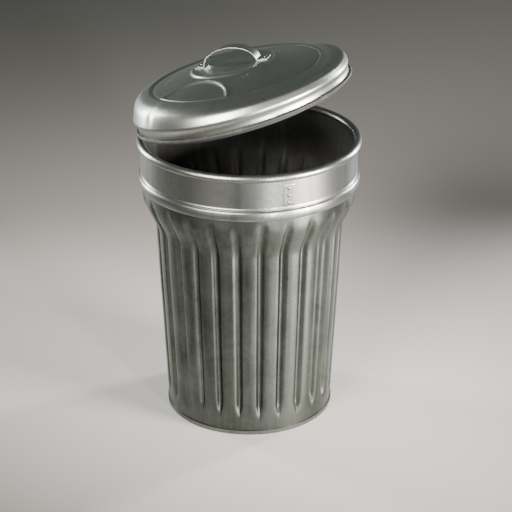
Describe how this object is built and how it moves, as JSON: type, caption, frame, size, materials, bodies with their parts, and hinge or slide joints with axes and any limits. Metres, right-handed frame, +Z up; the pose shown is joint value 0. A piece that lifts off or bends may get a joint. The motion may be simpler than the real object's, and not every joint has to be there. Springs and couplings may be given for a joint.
{
  "type": "lidded refuse can",
  "caption": "Fluted galvanised-steel refuse can with a rolled rim band, recessed bottom and a domed lid with strap handle on a rear friction hinge.",
  "frame": {"origin": "on the can's axis at the floor, midway between the front and rear of the whole part to within 6 mm", "axes": "+Z up along the can's axis, +Y towards the rear where the lid's hinge is, +X along the hinge pin"},
  "size_m": [0.4664, 0.4762, 0.7999],
  "materials": {
    "galvanised_shell": "galvanised, dull with soft streaks",
    "galvanised_band": "galvanised, satin",
    "galvanised_lid": "galvanised, semi-bright",
    "galvanised_base": "galvanised, dull",
    "zinc_hardware": "zinc plated",
    "steel_wire": "drawn wire",
    "black_rubber": "matt"
  },
  "bodies": {
    "can": {"body_shell": "galvanised_shell", "bottom_pan": "galvanised_base", "base_hoop": "galvanised_base", "rim_band": "galvanised_band", "rim_wire": "steel_wire", "band_lap_strip": "galvanised_band", "band_lap_rivet_1": "zinc_hardware", "band_lap_rivet_2": "zinc_hardware", "band_lap_rivet_3": "zinc_hardware", "hinge_base_leaf": "zinc_hardware", "hinge_base_rivet_1": "zinc_hardware", "hinge_base_rivet_2": "zinc_hardware", "hinge_pin": "steel_wire", "hinge_washer_1": "black_rubber", "hinge_washer_2": "black_rubber"},
    "lid": {"lid_shell": "galvanised_lid", "lid_edge_wire": "steel_wire", "lid_flange": "galvanised_base", "lid_seal": "black_rubber", "lid_handle": "galvanised_lid", "handle_rivet_1": "zinc_hardware", "handle_rivet_2": "zinc_hardware", "handle_rivet_3": "zinc_hardware", "handle_rivet_4": "zinc_hardware", "hinge_lid_leaf": "zinc_hardware", "hinge_lid_rivet_1": "zinc_hardware", "hinge_lid_rivet_2": "zinc_hardware"}
  },
  "joints": [
    {"name": "lid_hinge", "type": "hinge", "parent": "can", "child": "lid", "pos_m": [0, 0.2386, 0.612], "axis": [-1, 0, 0], "range_deg": [-17.2, 88]}
  ]
}
